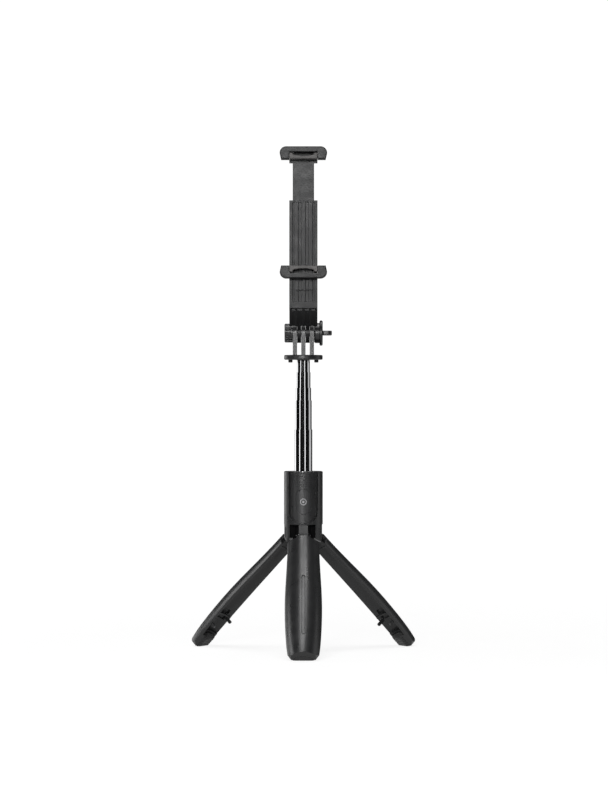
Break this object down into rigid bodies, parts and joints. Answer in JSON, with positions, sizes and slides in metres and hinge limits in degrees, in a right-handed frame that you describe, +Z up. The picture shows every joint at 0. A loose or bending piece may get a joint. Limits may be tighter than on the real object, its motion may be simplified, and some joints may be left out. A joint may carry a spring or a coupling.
{
  "type": "selfie stick",
  "caption": "Handheld telescopic pole whose handle splits into a three-legged stand, with a tilting spring phone clamp and a lift-out remote.",
  "frame": {"origin": "on the pole's axis at floor level, with the legs open", "axes": "+Z up the pole; +X right; -Y front, towards the first leg and the remote"},
  "size_m": [0.1614, 0.1424, 0.3552],
  "materials": {
    "black_plastic": "satin moulded",
    "trim": "semi-gloss",
    "black_chrome": "polished dark plating",
    "rubber_black": "soft",
    "silicone_pad": "soft, matte",
    "steel": "plain",
    "bronze": "spring strip",
    "board": "solder mask",
    "cell": "nickel plated"
  },
  "bodies": {
    "handle": {"collar_shell": "black_plastic", "collar_core": "black_plastic", "collar_top_cap": "black_plastic", "leg_hub": "black_plastic", "leg_hinge_pins": "steel", "outer_tube": "black_chrome", "outer_tube_plug": "black_plastic"},
    "leg_front": {"leg_front_shell": "black_plastic", "leg_front_foot": "rubber_black", "leg_front_inlay": "trim"},
    "leg_right": {"leg_right_shell": "black_plastic", "leg_right_foot": "rubber_black", "leg_right_inlay": "trim"},
    "leg_left": {"leg_left_shell": "black_plastic", "leg_left_foot": "rubber_black", "leg_left_inlay": "trim"},
    "pole_stage_1": {"tube_1": "black_chrome", "tube_1_bush": "bronze"},
    "pole_stage_2": {"tube_2": "black_chrome", "tube_2_bush": "bronze"},
    "pole_stage_3": {"tube_3": "black_chrome", "tube_3_bush": "bronze"},
    "pole_stage_4": {"tube_4": "black_chrome", "tube_4_bush": "bronze"},
    "pole_stage_5": {"tube_5": "black_chrome", "tube_5_bush": "bronze", "pan_bush": "black_plastic"},
    "head": {"head_base": "black_plastic", "head_bumpers": "rubber_black", "pan_washer": "steel", "pan_screw": "steel", "hinge_nut": "steel", "hinge_nut_cap": "black_plastic"},
    "thumbscrew": {"thumbscrew_bolt": "steel", "thumbscrew_knob": "black_plastic"},
    "clamp": {"clamp_arm": "black_plastic", "clamp_front": "black_plastic", "lower_jaw_pad": "silicone_pad", "clamp_screws": "steel", "jaw_spring": "steel"},
    "upper_jaw_slide": {"jaw_slider": "black_plastic", "upper_jaw": "black_plastic", "upper_jaw_pad": "silicone_pad", "jaw_screws": "steel"},
    "remote": {"remote_front_shell": "black_plastic", "remote_back_shell": "black_plastic", "remote_board": "board", "remote_switch": "steel", "remote_battery": "cell", "battery_contact": "steel"},
    "shutter": {"shutter_button": "trim"}
  },
  "joints": [
    {"name": "leg_front_hinge", "type": "hinge", "parent": "handle", "child": "leg_front", "pos_m": [0, -0.0092, 0.0822], "axis": [-1, 0, 0], "range_deg": [-45, 0]},
    {"name": "leg_right_hinge", "type": "hinge", "parent": "handle", "child": "leg_right", "pos_m": [0.00797, 0.0046, 0.0822], "axis": [0.5, -0.866, 0], "range_deg": [-45, 0]},
    {"name": "leg_left_hinge", "type": "hinge", "parent": "handle", "child": "leg_left", "pos_m": [-0.00797, 0.0046, 0.0822], "axis": [0.5, 0.866, 0], "range_deg": [-45, 0]},
    {"name": "pole_stage_1_slide", "type": "slide", "parent": "handle", "child": "pole_stage_1", "axis": [0, 0, 1], "range_m": [-0.0292, 0.0683]},
    {"name": "pole_stage_2_slide", "type": "slide", "parent": "pole_stage_1", "child": "pole_stage_2", "axis": [0, 0, 1], "range_m": [-0.0202, 0.0773]},
    {"name": "pole_stage_3_slide", "type": "slide", "parent": "pole_stage_2", "child": "pole_stage_3", "axis": [0, 0, 1], "range_m": [-0.0084, 0.0891]},
    {"name": "pole_stage_4_slide", "type": "slide", "parent": "pole_stage_3", "child": "pole_stage_4", "axis": [0, 0, 1], "range_m": [-0.0105, 0.087]},
    {"name": "pole_stage_5_slide", "type": "slide", "parent": "pole_stage_4", "child": "pole_stage_5", "axis": [0, 0, 1], "range_m": [-0.0078, 0.0897]},
    {"name": "head_pan", "type": "hinge", "parent": "pole_stage_5", "child": "head", "pos_m": [0, 0, 0.2065], "axis": [0, 0, 1], "continuous": true},
    {"name": "clamp_tilt", "type": "hinge", "parent": "head", "child": "clamp", "pos_m": [0, 0, 0.2254], "axis": [1, 0, 0], "range_deg": [-180, 64]},
    {"name": "thumbscrew_turn", "type": "hinge", "parent": "head", "child": "thumbscrew", "pos_m": [0, 0, 0.2254], "axis": [1, 0, 0], "continuous": true},
    {"name": "upper_jaw_slide", "type": "slide", "parent": "clamp", "child": "upper_jaw_slide", "axis": [0, 0, 1], "range_m": [-0.019, 0.012], "deforming": ["jaw_spring"]},
    {"name": "remote_release", "type": "slide", "parent": "handle", "child": "remote", "axis": [0, -1, 0], "range_m": [0, 0.04]},
    {"name": "shutter_press", "type": "slide", "parent": "remote", "child": "shutter", "axis": [0, 1, 0], "range_m": [0, 0.0005], "stiffness_N_per_m": 800}
  ]
}
